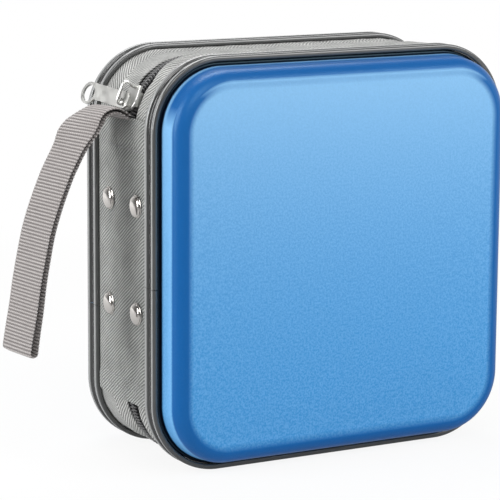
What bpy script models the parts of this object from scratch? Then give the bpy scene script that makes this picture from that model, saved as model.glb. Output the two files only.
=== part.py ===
"""Hard-shell zip case for discs, standing on the edges of its two covers.

The spine faces -X and the front cover faces -Y. The case stands on z = 0, and the empty that carries
everything centres the object on X, with the hand strap counted. Sections of the walls are given as
(offset, y): the offset runs outward from the rims' outermost line, so it is negative inside the case.
"""
import math

import bmesh
import bpy
from mathutils import Matrix, Vector

MM = 0.001

# Overall sizes
CASE_WIDTH = 155.0 * MM
CASE_HEIGHT = 159.0 * MM
CORNER_RADIUS = 28.0 * MM
CORNER_STEPS = 8
FABRIC_DEPTH = 42.0 * MM  # free fabric between the two rims
SEAT_GAP = 0.3 * MM  # between pieces that touch

# Moulded rims
RIM_DEPTH = 8.0 * MM
RIM_WALL = 1.9 * MM
RIM_LIP_REACH = 2.6 * MM
RIM_LIP_DEPTH = 1.2 * MM
RIM_RIDGE_WIDTH = 2.5 * MM
RIM_GROOVE_DEPTH = 0.8 * MM
RIM_ROUNDING = 0.6 * MM

# Moulded shells and their linings
SHELL_RISE = 11.0 * MM  # from the rim's front edge to the shell's face
SHELL_WALL = 1.2 * MM
SHELL_SIDE_INSET = 3.8 * MM
SHELL_DRAFT = 0.9 * MM
SHELL_FILLET = 5.5 * MM
FILLET_STEPS = 5
LINING_STEPS = 3
LINING_WALL = 0.8 * MM

# Fabric walls
FABRIC_THICKNESS = 0.9 * MM
FABRIC_INSET = 2.2 * MM  # outer face of the fabric, inside the rims' outermost line
PATCH_TOP_RISE = 4.0 * MM  # top edge, above the foot of the top corner
PATCH_BOTTOM_DROP = 3.5 * MM  # bottom edge, below the head of the bottom corner
PATCH_OVERLAP = 8.0 * MM  # of the patch over the ends of the gussets

# Zip
ZIP_Y = -6.0 * MM
ZIP_OPENING = 8.4 * MM  # between the two folded fabric edges
COIL_WIDTH = 4.6 * MM
COIL_HEIGHT = 1.6 * MM
COIL_PARTING = 0.3 * MM
COIL_PITCH = 2.9 * MM
COIL_MESH = 0.45 * MM  # reach of the teeth across the parting line
TAPE_THICKNESS = 0.6 * MM
TAPE_WIDTH = 10.0 * MM

# Slider and pull tab
SLIDER_FROM_PATCH = 7.715 * MM  # along the corner, from the patch's top edge to the slider's middle
SLIDER_LENGTH = 10.4 * MM
SLIDER_NOSE_WIDTH = 9.6 * MM
SLIDER_TAIL_WIDTH = 7.6 * MM
SLIDER_PLATE = 1.3 * MM
SLIDER_INNER_PLATE = 1.0 * MM
SLIDER_CLEARANCE = 0.35 * MM
SLIDER_SKIRT = 1.1 * MM
DIAMOND_RADIUS = 0.9 * MM
DIAMOND_SEAT = 3.0 * MM  # from the slider's middle towards its nose
BAIL_RADIUS = 0.65 * MM
BAIL_FRONT = 3.3 * MM
BAIL_REAR = 4.2 * MM
BAIL_LEAN = 0.6 * MM  # of both shoulders beyond the feet
BAIL_RISE = 4.9 * MM  # centre line of the bridge above the plate
TAB_LENGTH = 28.3 * MM
TAB_WIDTH = 6.3 * MM
TAB_END_RADIUS = 4.4 * MM  # of the ring at its outer end, flush with the tab's upper edge
TAB_THICKNESS = 0.9 * MM
TAB_RISE = 2.25 * MM  # middle of the tab above the plate, at the bail
TAB_TILT = math.radians(12.0)  # outward, where it lies on the strap
TAB_SLOT_WIDTH = 3.0 * MM
TAB_SLOT_LENGTH = 2.6 * MM
TAB_END_STRIP = 1.3 * MM
TAB_HOLE_RADIUS = 3.3 * MM

# Rivets, in two columns of two
RIVET_SPACING = 41.4 * MM
RIVET_LIFT = 1.5 * MM  # of the rows' middle above the case's
RIVET_HOLE_STEPS = 12
RIVET_CAP_RADIUS = 4.4 * MM
RIVET_CAP_HEIGHT = 1.9 * MM
RIVET_SHANK_RADIUS = 1.5 * MM
RIVET_END = 0.6 * MM  # of the shank beyond the washer
WASHER_RADIUS = 3.4 * MM
WASHER_THICKNESS = 0.8 * MM

# Binders and sleeves
BINDER_FRONT_MARGIN = 8.5 * MM  # from the front rim to the column's middle
BINDER_BACK_MARGIN = 10.0 * MM
BINDER_WALL = 1.0 * MM
BINDER_REACH = 9.0 * MM
BINDER_SPACING = 3.3 * MM  # between the two channels
BINDER_END_GAP = 1.0 * MM  # to the ends of the zip tapes
LEAF_COUNT = 10
LEAF_PARTING = 0.4 * MM
LEAF_WALL_GAP = 5.5 * MM  # above and below, to the zip tape's inner face
LEAF_EDGE_GAP = 8.3 * MM  # at the opening edge
LEAF_CORNER = 12.0 * MM
LEAF_MARGIN = 12.0 * MM  # bound margin, shorter than the leaf
LEAF_CREASE = 3.0 * MM  # solid spine of the bound stack

# Hand strap, folded double
STRAP_WIDTH = 20.0 * MM
STRAP_Y = 0.5 * MM
STRAP_THICKNESS = 1.1 * MM
STRAP_LAYER_GAP = 0.35 * MM
STRAP_FOLD_GAP = 1.9 * MM
STRAP_STEP = 3.0 * MM

HALF_WIDTH = CASE_WIDTH / 2
HALF_DEPTH = FABRIC_DEPTH / 2 + RIM_DEPTH
MID_HEIGHT = CASE_HEIGHT / 2
CORNER_X = HALF_WIDTH - CORNER_RADIUS
CORNER_TOP_Z = CASE_HEIGHT - CORNER_RADIUS
PATCH_TOP = CORNER_TOP_Z + PATCH_TOP_RISE
PATCH_BOTTOM = CORNER_RADIUS - PATCH_BOTTOM_DROP
SLIDER_ANGLE = math.pi - math.asin(PATCH_TOP_RISE / CORNER_RADIUS) - SLIDER_FROM_PATCH / CORNER_RADIUS  # from +X
RIVET_MIDDLE = MID_HEIGHT + RIVET_LIFT
RIVET_ROWS = (RIVET_MIDDLE - RIVET_SPACING / 2, RIVET_MIDDLE + RIVET_SPACING / 2)
BINDER_FRONT_Y = BINDER_FRONT_MARGIN - FABRIC_DEPTH / 2
BINDER_BACK_Y = FABRIC_DEPTH / 2 - BINDER_BACK_MARGIN

# Levels across the walls, all as offsets from the rims' outermost line
PATCH_INNER = -FABRIC_INSET + SEAT_GAP
PATCH_OUTER = PATCH_INNER + FABRIC_THICKNESS
FABRIC_OUTER = -FABRIC_INSET
FABRIC_INNER = FABRIC_OUTER - FABRIC_THICKNESS
COIL_INNER = FABRIC_INNER
COIL_OUTER = COIL_INNER + COIL_HEIGHT
TAPE_OUTER = FABRIC_INNER - SEAT_GAP
TAPE_INNER = TAPE_OUTER - TAPE_THICKNESS
BINDER_OUTER = FABRIC_INNER - SEAT_GAP
BINDER_INNER = BINDER_OUTER - BINDER_WALL
WASHER_OUTER = BINDER_INNER - SEAT_GAP
WASHER_INNER = WASHER_OUTER - WASHER_THICKNESS
SHANK_END = WASHER_INNER - RIVET_END
LEAF_START = SHANK_END - 2 * SEAT_GAP
LEAF_HEIGHT = CASE_HEIGHT + 2 * (TAPE_INNER - LEAF_WALL_GAP)
LEAF_STEPS = 3
STACK_DEPTH = BINDER_BACK_Y - BINDER_FRONT_Y - BINDER_SPACING - 2 * (BINDER_WALL + SEAT_GAP)
LEAF_PITCH = (STACK_DEPTH + LEAF_PARTING) / LEAF_COUNT
LEAF_THICKNESS = LEAF_PITCH - LEAF_PARTING

# Levels through the depth of the front cover, from its rim's front edge; the back cover mirrors them
FLANGE_LEVEL = RIM_LIP_DEPTH + SEAT_GAP
GUSSET_LEVEL = FLANGE_LEVEL + SHELL_WALL + SEAT_GAP

for obj in list(bpy.data.objects):
    bpy.data.objects.remove(obj, do_unlink=True)
for stale in list(bpy.data.collections):
    bpy.data.collections.remove(stale)

case_collection = bpy.data.collections.new("cd_storage_case")
guide_collection = bpy.data.collections.new("cutters_and_guides")
bpy.context.scene.collection.children.link(case_collection)
bpy.context.scene.collection.children.link(guide_collection)


def make_material(name, colour, roughness, metallic=0.0):
    material = bpy.data.materials.new(name)
    material.use_nodes = True
    shader = material.node_tree.nodes["Principled BSDF"]
    shader.inputs["Base Color"].default_value = (*colour, 1.0)
    shader.inputs["Roughness"].default_value = roughness
    shader.inputs["Metallic"].default_value = metallic
    material.diffuse_color = (*colour, 1.0)
    return material


BLUE_SHELL = make_material("blue_shell", (0.10, 0.36, 0.72), 0.38)
GREY_RIM = make_material("grey_rim", (0.10, 0.10, 0.10), 0.35)
GREY_TWILL = make_material("grey_twill", (0.30, 0.29, 0.28), 0.9)
PATCH_CLOTH = make_material("patch_cloth", (0.34, 0.33, 0.32), 0.9)
LINING_CLOTH = make_material("lining_cloth", (0.03, 0.03, 0.03), 0.95)
TAPE_CLOTH = make_material("tape_cloth", (0.02, 0.02, 0.02), 0.85)
COIL_NYLON = make_material("coil_nylon", (0.03, 0.03, 0.03), 0.45)
NICKEL = make_material("nickel", (0.72, 0.70, 0.67), 0.3, 1.0)
BINDER_PLASTIC = make_material("binder_plastic", (0.02, 0.02, 0.02), 0.5)
SLEEVE_FILM = make_material("sleeve_film", (0.55, 0.55, 0.56), 0.4)
WEBBING = make_material("webbing", (0.36, 0.33, 0.33), 0.85)

origin = bpy.data.objects.new("case_origin", None)
case_collection.objects.link(origin)


def add_part(name, data, material, parent=None):
    """Puts a mesh into the model as one named piece."""
    part = bpy.data.objects.new(name, data)
    data.materials.clear()
    data.materials.append(material)
    case_collection.objects.link(part)
    part.parent = parent or origin
    return part


def add_guide(name, data):
    guide = bpy.data.objects.new(name, data)
    guide.display_type = "WIRE"
    guide.hide_render = True
    guide_collection.objects.link(guide)
    guide.parent = origin
    return guide


def poly_curve(name, points, cyclic, dimensions="2D"):
    curve = bpy.data.curves.new(name, "CURVE")
    curve.dimensions = dimensions
    spline = curve.splines.new("POLY")
    spline.points.add(len(points) - 1)
    for spline_point, point in zip(spline.points, points):
        spline_point.co = (*point, 0.0, 1.0) if len(point) == 2 else (*point, 1.0)
    spline.use_cyclic_u = cyclic
    return curve


def mesh_from_curve(name, curve, tidy=True):
    """The closed mesh of a curve, with the rims of its caps welded."""
    holder = bpy.data.objects.new(name + "_curve", curve)
    guide_collection.objects.link(holder)
    bpy.context.view_layer.update()
    evaluated = holder.evaluated_get(bpy.context.evaluated_depsgraph_get())
    mesh = bpy.data.meshes.new_from_object(evaluated)
    mesh.name = name
    bpy.data.objects.remove(holder, do_unlink=True)
    if tidy:
        bm = bmesh.new()
        bm.from_mesh(mesh)
        bmesh.ops.remove_doubles(bm, verts=bm.verts[:], dist=0.00001)
        bmesh.ops.recalc_face_normals(bm, faces=bm.faces[:])
        bm.to_mesh(mesh)
        bm.free()
    return mesh


def swept_mesh(name, path, section, cyclic):
    """A closed section (offset, y) carried along a path (x, z) whose outer side is on its left."""
    turned_section = [(-offset, -y) for offset, y in section]
    profile = add_guide(name + "_section", poly_curve(name + "_section", turned_section, True))
    curve = poly_curve(name, path, cyclic)
    curve.bevel_mode = "OBJECT"
    curve.bevel_object = profile
    curve.use_fill_caps = not cyclic
    mesh = mesh_from_curve(name, curve)
    mesh.transform(Matrix.Rotation(math.radians(90), 4, "X"))
    return mesh


def plate_mesh(name, outlines, thickness):
    """A flat plate from 2D outlines, with later outlines as holes, centred on its own plane."""
    curve = bpy.data.curves.new(name, "CURVE")
    curve.dimensions = "2D"
    curve.fill_mode = "BOTH"
    curve.extrude = thickness / 2
    for outline in outlines:
        spline = curve.splines.new("POLY")
        spline.points.add(len(outline) - 1)
        for spline_point, point in zip(spline.points, outline):
            spline_point.co = (point[0], point[1], 0.0, 1.0)
        spline.use_cyclic_u = True
    return mesh_from_curve(name, curve)


def arc_points(centre, radius, start, end, steps):
    return [
        (
            centre[0] + radius * math.cos(start + (end - start) * step / steps),
            centre[1] + radius * math.sin(start + (end - start) * step / steps),
        )
        for step in range(steps + 1)
    ]


def corner_arc(side_x, side_z, start_degrees, end_degrees, steps=CORNER_STEPS):
    centre = (side_x * CORNER_X, MID_HEIGHT + side_z * (MID_HEIGHT - CORNER_RADIUS))
    return arc_points(centre, CORNER_RADIUS, math.radians(start_degrees), math.radians(end_degrees), steps)


def ring_path():
    """The rims' outermost line, clockwise as the front cover is seen."""
    return (
        corner_arc(-1, 1, 180, 90) + corner_arc(1, 1, 90, 0)
        + corner_arc(1, -1, 0, -90) + corner_arc(-1, -1, -90, -180)
    )


def open_path(top_z, bottom_z):
    """The same line without the spine, between two heights on the spine."""
    return [(-HALF_WIDTH, top_z)] + ring_path() + [(-HALF_WIDTH, bottom_z)]


def spine_path(top_z, bottom_z):
    """The spine's own stretch of that line, from its foot up, and a little way round both corners."""
    top_turn = math.degrees(math.asin((top_z - CORNER_TOP_Z) / CORNER_RADIUS))
    bottom_turn = math.degrees(math.asin((CORNER_RADIUS - bottom_z) / CORNER_RADIUS))
    return corner_arc(-1, -1, 180 + bottom_turn, 180, 2) + corner_arc(-1, 1, 180, 180 - top_turn, 2)


def box_section(low_offset, high_offset, low_y, high_y):
    return [(low_offset, low_y), (high_offset, low_y), (high_offset, high_y), (low_offset, high_y)]


def boolean(target, cutter, operation="DIFFERENCE"):
    modifier = target.modifiers.new(cutter.name, "BOOLEAN")
    modifier.operation = operation
    modifier.solver = "EXACT"
    modifier.object = cutter
    return modifier


def along_x(mesh):
    """Turns a form made along Z so that its top faces -X."""
    mesh.transform(Matrix.Rotation(math.radians(-90), 4, "Y"))
    return mesh


def shade(mesh, angle=35.0):
    mesh.shade_smooth()
    mesh.set_sharp_from_angle(angle=math.radians(angle))
    return mesh


def turned_mesh(name, profile, steps):
    """Revolves a profile (radius, z), listed from top to bottom, with a Screw modifier."""
    source = bpy.data.meshes.new(name + "_profile")
    source.from_pydata([(radius, 0.0, z) for radius, z in profile], [(i, i + 1) for i in range(len(profile) - 1)], [])
    holder = bpy.data.objects.new(name + "_profile", source)
    guide_collection.objects.link(holder)
    screw = holder.modifiers.new("turn", "SCREW")
    screw.axis = "Z"
    screw.steps = steps
    screw.render_steps = steps
    screw.use_merge_vertices = True
    screw.merge_threshold = 0.00001
    bpy.context.view_layer.update()
    evaluated = holder.evaluated_get(bpy.context.evaluated_depsgraph_get())
    mesh = bpy.data.meshes.new_from_object(evaluated)
    mesh.name = name
    bpy.data.objects.remove(holder, do_unlink=True)
    bm = bmesh.new()
    bm.from_mesh(mesh)
    bmesh.ops.remove_doubles(bm, verts=bm.verts[:], dist=0.00001)
    bmesh.ops.recalc_face_normals(bm, faces=bm.faces[:])
    bm.to_mesh(mesh)
    bm.free()
    return shade(mesh)


def tray_mesh(name, inset, flange, rise, draft, fillet, fillet_steps):
    """An open tray in the XZ plane that rises towards -Y: flange, drafted side, quarter-round, flat face."""
    bm = bmesh.new()
    bmesh.ops.create_grid(bm, x_segments=1, y_segments=1, size=0.5)
    outer_inset = inset - flange
    bmesh.ops.scale(
        bm, vec=(CASE_WIDTH - 2 * outer_inset, CASE_HEIGHT - 2 * outer_inset, 1.0), verts=bm.verts[:]
    )
    bmesh.ops.rotate(bm, verts=bm.verts[:], matrix=Matrix.Rotation(math.radians(90), 3, "X"))
    bmesh.ops.bevel(
        bm, geom=bm.verts[:], offset=CORNER_RADIUS - outer_inset, offset_type="OFFSET",
        segments=CORNER_STEPS, profile=0.5, affect="VERTICES",
    )
    bm.faces.ensure_lookup_table()
    face = bm.faces[0]
    steps = [(flange, 0.0)] if flange else []
    steps.append((draft, rise - fillet))
    for step in range(fillet_steps):
        before = math.radians(90) * step / fillet_steps
        after = math.radians(90) * (step + 1) / fillet_steps
        steps.append((
            fillet * (math.cos(before) - math.cos(after)),
            fillet * (math.sin(after) - math.sin(before)),
        ))
    for thickness, depth in steps:
        bmesh.ops.inset_region(
            bm, faces=[face], thickness=thickness, depth=depth, use_even_offset=True, use_boundary=True
        )
    mesh = bpy.data.meshes.new(name)
    bm.to_mesh(mesh)
    bm.free()
    return mesh


def add_tray(name, mesh, side, base_level, wall, material):
    """side is -1 for the front cover and 1 for the back cover."""
    if side > 0:
        mesh = mesh.copy()
        mesh.name = name
        mesh.transform(Matrix.Scale(-1, 4, Vector((0, 1, 0))))
        mesh.flip_normals()
    tray = add_part(name, mesh, material)
    tray.location = (0.0, side * (HALF_DEPTH - base_level), MID_HEIGHT)
    solidify = tray.modifiers.new("wall", "SOLIDIFY")
    solidify.thickness = wall
    solidify.offset = -1.0
    solidify.use_even_offset = True
    shade(mesh, 50.0)
    return tray


# Covers: shells, linings and rims

shell_mesh = tray_mesh(
    "front_shell", SHELL_SIDE_INSET, SHELL_SIDE_INSET - FABRIC_INSET,
    SHELL_RISE + FLANGE_LEVEL, SHELL_DRAFT, SHELL_FILLET, FILLET_STEPS,
)
lining_inset = SHELL_SIDE_INSET + SHELL_WALL + SEAT_GAP
lining_mesh = tray_mesh(
    "front_lining", lining_inset, 0.0,
    SHELL_RISE + FLANGE_LEVEL - SEAT_GAP, SHELL_DRAFT, SHELL_FILLET - SHELL_WALL - SEAT_GAP, LINING_STEPS,
)
add_tray("front_shell", shell_mesh, -1, FLANGE_LEVEL, SHELL_WALL, BLUE_SHELL)
add_tray("back_shell", shell_mesh, 1, FLANGE_LEVEL, SHELL_WALL, BLUE_SHELL)
add_tray("front_lining", lining_mesh, -1, FLANGE_LEVEL + SHELL_WALL, LINING_WALL, LINING_CLOTH)
add_tray("back_lining", lining_mesh, 1, FLANGE_LEVEL + SHELL_WALL, LINING_WALL, LINING_CLOTH)


def rim_section(side):
    """Two rounded ridges with the stitching groove between them, and a lip that turns in over the shell."""
    edge = side * HALF_DEPTH
    inward = -side
    ridge = RIM_RIDGE_WIDTH
    depth = RIM_DEPTH
    levels = [
        (-RIM_LIP_REACH, 0.0),
        (-RIM_ROUNDING, 0.0),
        (0.0, RIM_ROUNDING),
        (0.0, ridge - RIM_ROUNDING),
        (-RIM_GROOVE_DEPTH, ridge),
        (-RIM_GROOVE_DEPTH, depth - ridge),
        (0.0, depth - ridge + RIM_ROUNDING),
        (0.0, depth - RIM_ROUNDING),
        (-RIM_ROUNDING, depth),
        (-RIM_WALL, depth),
        (-RIM_WALL, RIM_LIP_DEPTH),
        (-RIM_LIP_REACH, RIM_LIP_DEPTH),
    ]
    return [(offset, edge + inward * level) for offset, level in levels]


for rim_name, rim_side in (("front_rim", -1), ("back_rim", 1)):
    rim_mesh = swept_mesh(rim_name, ring_path(), rim_section(rim_side), True)
    add_part(rim_name, shade(rim_mesh), GREY_RIM)

# Fabric walls between the rims and the zip

GUSSET_EDGE = HALF_DEPTH - GUSSET_LEVEL
GUSSET_TOP = PATCH_TOP - PATCH_OVERLAP
GUSSET_BOTTOM = PATCH_BOTTOM + PATCH_OVERLAP
BINDER_LENGTH = 2 * min(GUSSET_TOP - MID_HEIGHT, MID_HEIGHT - GUSSET_BOTTOM) - 2 * BINDER_END_GAP
wall_path = open_path(GUSSET_TOP, GUSSET_BOTTOM)

add_part("front_gusset", swept_mesh(
    "front_gusset", wall_path,
    box_section(FABRIC_INNER, FABRIC_OUTER, -GUSSET_EDGE, ZIP_Y - ZIP_OPENING / 2), False,
), GREY_TWILL)
add_part("back_gusset", swept_mesh(
    "back_gusset", wall_path,
    box_section(FABRIC_INNER, FABRIC_OUTER, ZIP_Y + ZIP_OPENING / 2, GUSSET_EDGE), False,
), GREY_TWILL)

# Zip tapes and coils. Both part round the slider's diamond.

coil_start = math.degrees(math.asin((PATCH_TOP + SEAT_GAP - CORNER_TOP_Z) / CORNER_RADIUS))
coil_end = math.degrees(math.asin((CORNER_RADIUS - PATCH_BOTTOM + SEAT_GAP) / CORNER_RADIUS))
coil_path = (
    corner_arc(-1, 1, 180 - coil_start, 90) + corner_arc(1, 1, 90, 0)
    + corner_arc(1, -1, 0, -90) + corner_arc(-1, -1, -90, -180 + coil_end)
)

# The slider's frame: x towards its tail, y through the depth and z outward from the corner's centre
slider_pivot = bpy.data.objects.new("slider_pivot", None)
case_collection.objects.link(slider_pivot)
slider_pivot.parent = origin
slider_pivot.location = (-CORNER_X, ZIP_Y, CORNER_TOP_Z)
slider_pivot.rotation_euler = (0.0, math.radians(90) - SLIDER_ANGLE, 0.0)

PLATE_LOW = CORNER_RADIUS + COIL_OUTER + SLIDER_CLEARANCE
PLATE_HIGH = PLATE_LOW + SLIDER_PLATE
CHAIN_SAG = (SLIDER_LENGTH / 2) ** 2 / (2 * (CORNER_RADIUS + TAPE_INNER))
INNER_HIGH = CORNER_RADIUS + TAPE_INNER - CHAIN_SAG - SLIDER_CLEARANCE
INNER_LOW = INNER_HIGH - SLIDER_INNER_PLATE


def post_mesh(name, radius, low, high, x, segments=12):
    bm = bmesh.new()
    bmesh.ops.create_cone(
        bm, cap_ends=True, segments=segments, radius1=radius, radius2=radius, depth=high - low,
        matrix=Matrix.Translation((x, 0.0, (low + high) / 2)),
    )
    mesh = bpy.data.meshes.new(name)
    bm.to_mesh(mesh)
    bm.free()
    return mesh


diamond_notch = add_guide(
    "diamond_notch", post_mesh("diamond_notch", DIAMOND_RADIUS + SLIDER_CLEARANCE, INNER_LOW, PLATE_HIGH, -DIAMOND_SEAT)
)
diamond_notch.parent = slider_pivot



def toothed_path(path):
    """The path with a point at each tooth's root and tip."""
    points = [Vector(path[0])]
    for low, high in zip(path[:-1], path[1:]):
        low, high = Vector(low), Vector(high)
        count = 2 * max(1, round((high - low).length / COIL_PITCH))
        points += [low.lerp(high, step / count) for step in range(1, count + 1)]
    return points


def coil_mesh(name, near, far):
    """One coil: a straight outer edge, and teeth that mesh with the other coil's across an even gap."""
    path = toothed_path(coil_path)
    section = box_section(COIL_INNER, COIL_OUTER, min(near, far), max(near, far))
    mesh = swept_mesh(name, [tuple(point) for point in path], section, False)
    bm = bmesh.new()
    bm.from_mesh(mesh)
    for vertex in bm.verts:
        if abs(vertex.co.y - near) < COIL_PARTING / 10:
            place = Vector((vertex.co.x, vertex.co.z))
            index = min(range(len(path)), key=lambda i: (path[i] - place).length_squared)
            vertex.co.y += COIL_MESH if index % 2 else -COIL_MESH
    bmesh.ops.dissolve_limit(bm, angle_limit=math.radians(0.5), verts=bm.verts, edges=bm.edges)
    bmesh.ops.triangulate(bm, faces=bm.faces[:])
    bm.to_mesh(mesh)
    bm.free()
    return mesh


for cover_side, cover in ((-1, "front"), (1, "back")):
    near = ZIP_Y + cover_side * COIL_PARTING / 2
    far = ZIP_Y + cover_side * COIL_WIDTH / 2
    tape_far = ZIP_Y + cover_side * TAPE_WIDTH
    coil = add_part(cover + "_zip_coil", coil_mesh(cover + "_zip_coil", near, far), COIL_NYLON)
    tape = add_part(cover + "_zip_tape", swept_mesh(
        cover + "_zip_tape", wall_path,
        box_section(TAPE_INNER, TAPE_OUTER, min(near, tape_far), max(near, tape_far)), False,
    ), TAPE_CLOTH)
    boolean(coil, diamond_notch)
    boolean(tape, diamond_notch)


def slider_outline(length, nose_width, tail_width):
    """Wide rounded nose at -X, narrower squared tail at +X."""
    half = length / 2
    nose = arc_points((-half + nose_width / 2, 0.0), nose_width / 2, math.radians(90), math.radians(270), 10)
    return [(half, -tail_width / 2), (half, tail_width / 2)] + nose


slider_mesh = plate_mesh(
    "slider_body", [slider_outline(SLIDER_LENGTH, SLIDER_NOSE_WIDTH, SLIDER_TAIL_WIDTH)], SLIDER_PLATE
)
slider_mesh.transform(Matrix.Translation((0.0, 0.0, (PLATE_LOW + PLATE_HIGH) / 2)))
slider_body = add_part("slider_body", slider_mesh, NICKEL, slider_pivot)
edge_bevel = slider_body.modifiers.new("edges", "BEVEL")
edge_bevel.width = 0.25 * MM
edge_bevel.segments = 2
edge_bevel.limit_method = "ANGLE"

inner_plate_mesh = plate_mesh(
    "slider_inner_plate", [slider_outline(SLIDER_LENGTH, SLIDER_NOSE_WIDTH, SLIDER_TAIL_WIDTH)], SLIDER_INNER_PLATE
)
inner_plate_mesh.transform(Matrix.Translation((0.0, 0.0, (INNER_LOW + INNER_HIGH) / 2)))
boolean(slider_body, add_guide("slider_inner_plate", inner_plate_mesh), "UNION").object.parent = slider_pivot
boolean(slider_body, add_guide(
    "slider_diamond", post_mesh("slider_diamond", DIAMOND_RADIUS, INNER_HIGH - 0.4 * MM, PLATE_LOW + 0.4 * MM, -DIAMOND_SEAT)
), "UNION").object.parent = slider_pivot

skirt_low = CORNER_RADIUS + TAPE_OUTER + SLIDER_CLEARANCE
skirt_inner = COIL_WIDTH / 2 + SLIDER_CLEARANCE
for skirt_side in (-1, 1):
    bm = bmesh.new()
    bmesh.ops.create_cube(bm, size=1.0)
    bmesh.ops.scale(
        bm, vec=(SLIDER_LENGTH * 0.55, SLIDER_SKIRT, PLATE_LOW + 0.4 * MM - skirt_low), verts=bm.verts[:]
    )
    bmesh.ops.translate(
        bm, verts=bm.verts[:],
        vec=(0.0, skirt_side * (skirt_inner + SLIDER_SKIRT / 2), (PLATE_LOW + 0.4 * MM + skirt_low) / 2),
    )
    skirt_mesh = bpy.data.meshes.new("slider_skirt")
    bm.to_mesh(skirt_mesh)
    bm.free()
    boolean(slider_body, add_guide("slider_skirt", skirt_mesh), "UNION").object.parent = slider_pivot

bail_height = PLATE_HIGH + BAIL_RISE
bail_corner = 1.5 * MM
bail_points = [(-BAIL_FRONT, PLATE_HIGH - 0.7 * MM), (-BAIL_FRONT, PLATE_HIGH + TAB_RISE + TAB_THICKNESS / 2)]
bail_points += arc_points(
    (-BAIL_FRONT - BAIL_LEAN + bail_corner, bail_height - bail_corner), bail_corner,
    math.radians(180), math.radians(90), 5,
)
bail_points += arc_points(
    (BAIL_REAR + BAIL_LEAN - bail_corner, bail_height - bail_corner), bail_corner,
    math.radians(90), math.radians(0), 5,
)
bail_points += [(BAIL_REAR, PLATE_HIGH + TAB_RISE / 2), (BAIL_REAR, PLATE_HIGH - 0.7 * MM)]
bail_curve = poly_curve("slider_bail", [(x, 0.0, z) for x, z in bail_points], False, "3D")
bail_curve.bevel_depth = BAIL_RADIUS
bail_curve.bevel_resolution = 2
bail_curve.use_fill_caps = True
boolean(slider_body, add_guide("slider_bail", mesh_from_curve("slider_bail", bail_curve)), "UNION").object.parent = slider_pivot

# Pull tab: its slot hangs on the bail's front leg, and it lies over towards the back cover
tab_pivot = bpy.data.objects.new("pull_tab_pivot", None)
case_collection.objects.link(tab_pivot)
tab_pivot.parent = slider_pivot
tab_pivot.location = (-BAIL_FRONT, 0.0, PLATE_HIGH + TAB_RISE)
tab_pivot.rotation_euler = (TAB_TILT, 0.0, 0.0)

tab_inner = -(TAB_SLOT_WIDTH / 2 + TAB_END_STRIP)
tab_outer = tab_inner + TAB_LENGTH
tab_low = -1.9 * MM
tab_high = tab_low + TAB_WIDTH
ring_x = tab_high - TAB_END_RADIUS
ring_y = tab_outer - TAB_END_RADIUS
ring_meet = math.pi + math.acos(min(1.0, (tab_high - tab_low - TAB_END_RADIUS) / TAB_END_RADIUS))
tab_outline = (
    [(tab_low + 1.2 * MM, tab_inner), (tab_high - 1.2 * MM, tab_inner), (tab_high, tab_inner + 1.2 * MM)]
    + arc_points((ring_x, ring_y), TAB_END_RADIUS, 0.0, ring_meet, 16)
    + [(tab_low, tab_inner + 1.2 * MM)]
)
slot_low = -TAB_SLOT_LENGTH / 2 + 0.35 * MM
tab_slot = [
    (slot_low, -TAB_SLOT_WIDTH / 2), (slot_low + TAB_SLOT_LENGTH, -TAB_SLOT_WIDTH / 2),
    (slot_low + TAB_SLOT_LENGTH, TAB_SLOT_WIDTH / 2), (slot_low, TAB_SLOT_WIDTH / 2),
]
tab_hole = arc_points((ring_x, ring_y), TAB_HOLE_RADIUS, 0.0, math.radians(345), 23)
tab_mesh = plate_mesh("pull_tab", [tab_outline, tab_slot, tab_hole], TAB_THICKNESS)
pull_tab = add_part("pull_tab", shade(tab_mesh), NICKEL, tab_pivot)

# Spine: the inner layer is tucked into both rims, the patch lies over it and over the gussets' ends

base_mesh = swept_mesh(
    "spine_base", [(-HALF_WIDTH, GUSSET_BOTTOM + SEAT_GAP), (-HALF_WIDTH, GUSSET_TOP - SEAT_GAP)],
    box_section(FABRIC_INNER, FABRIC_OUTER, -GUSSET_EDGE, GUSSET_EDGE), False,
)
spine_base = add_part("spine_base", base_mesh, GREY_TWILL)
patch_edge = FABRIC_DEPTH / 2 - SEAT_GAP
patch_mesh = swept_mesh(
    "spine_patch", spine_path(PATCH_TOP, PATCH_BOTTOM),
    box_section(PATCH_INNER, PATCH_OUTER, -patch_edge, patch_edge), False,
)
spine_patch = add_part("spine_patch", patch_mesh, PATCH_CLOTH)

# Binders, rivets and washers

binder_half = STACK_DEPTH / 2 + SEAT_GAP
binder_columns = (("front", BINDER_FRONT_Y), ("back", BINDER_BACK_Y))


def plan_mesh(name, outline, height):
    """A plan outline (x, y) raised by a height and centred on the case's middle height."""
    mesh = plate_mesh(name, [outline], height)
    mesh.transform(Matrix.Translation((0.0, 0.0, MID_HEIGHT)))
    return mesh


binders = []
for column, column_y in binder_columns:
    inner = -HALF_WIDTH - BINDER_INNER
    outer = -HALF_WIDTH - BINDER_OUTER
    mouth = inner + BINDER_REACH
    reach = binder_half + BINDER_WALL
    channel = [
        (outer, -reach), (mouth, -reach), (mouth, -binder_half), (inner, -binder_half),
        (inner, binder_half), (mouth, binder_half), (mouth, reach), (outer, reach),
    ]
    binder = add_part(column + "_binder", plan_mesh(column + "_binder", channel, BINDER_LENGTH), BINDER_PLASTIC)
    binder.location = (0.0, column_y, 0.0)
    binders.append(binder)

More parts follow.
